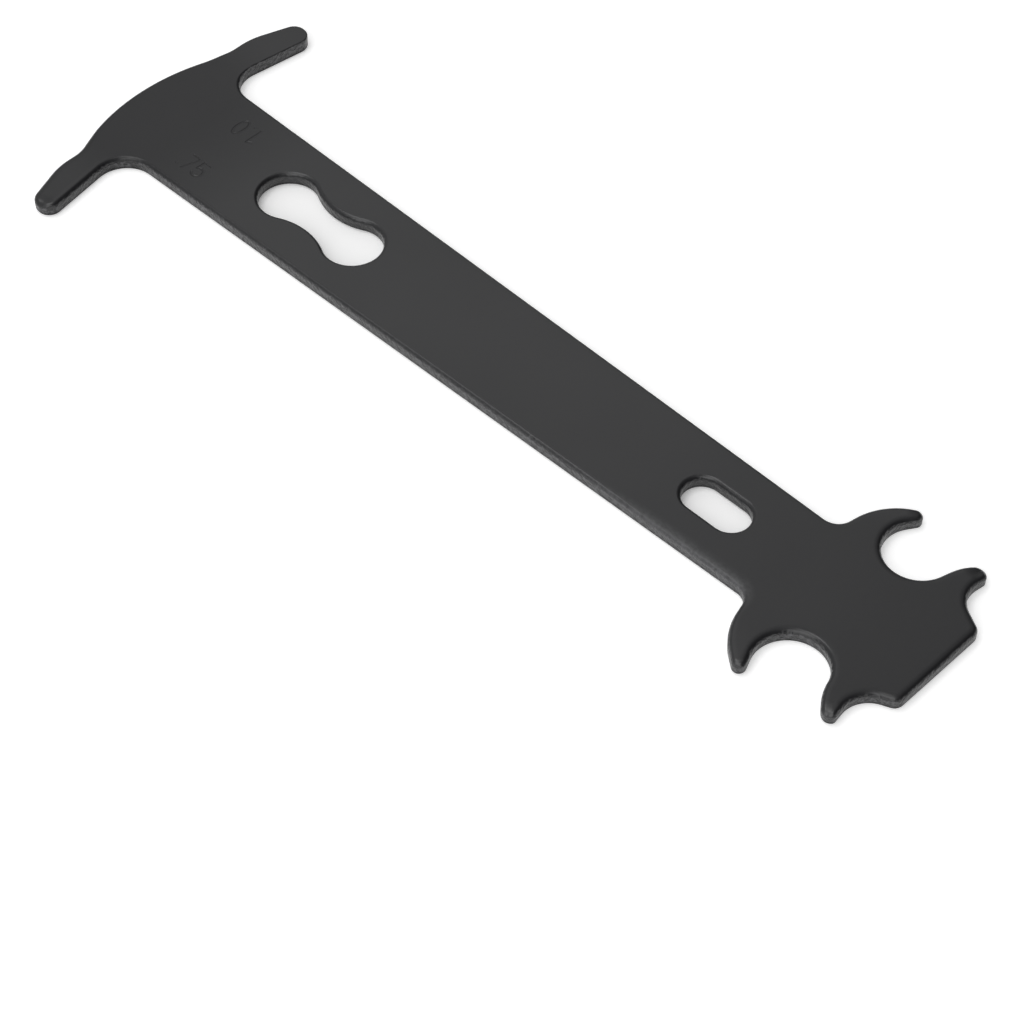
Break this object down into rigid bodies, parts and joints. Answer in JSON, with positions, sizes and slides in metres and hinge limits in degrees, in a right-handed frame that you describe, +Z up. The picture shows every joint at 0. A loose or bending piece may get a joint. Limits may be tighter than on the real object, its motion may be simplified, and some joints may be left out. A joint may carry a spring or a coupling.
{
  "type": "chain wear gauge",
  "caption": "Flat steel gauge with a hammer-shaped head, a tapered bar and a hooked tail, which shows how far a bicycle chain has stretched.",
  "frame": {"origin": "middle of the plate's length and width, on its underside, which it rests on", "axes": "+X along the bar from the head to the hooked tail, +Y across the bar, +Z up through the plate"},
  "size_m": [0.1258, 0.0432, 0.0019],
  "materials": {
    "black_coated_steel": "satin"
  },
  "bodies": {
    "root": {"gauge_plate": "black_coated_steel"}
  },
  "joints": []
}
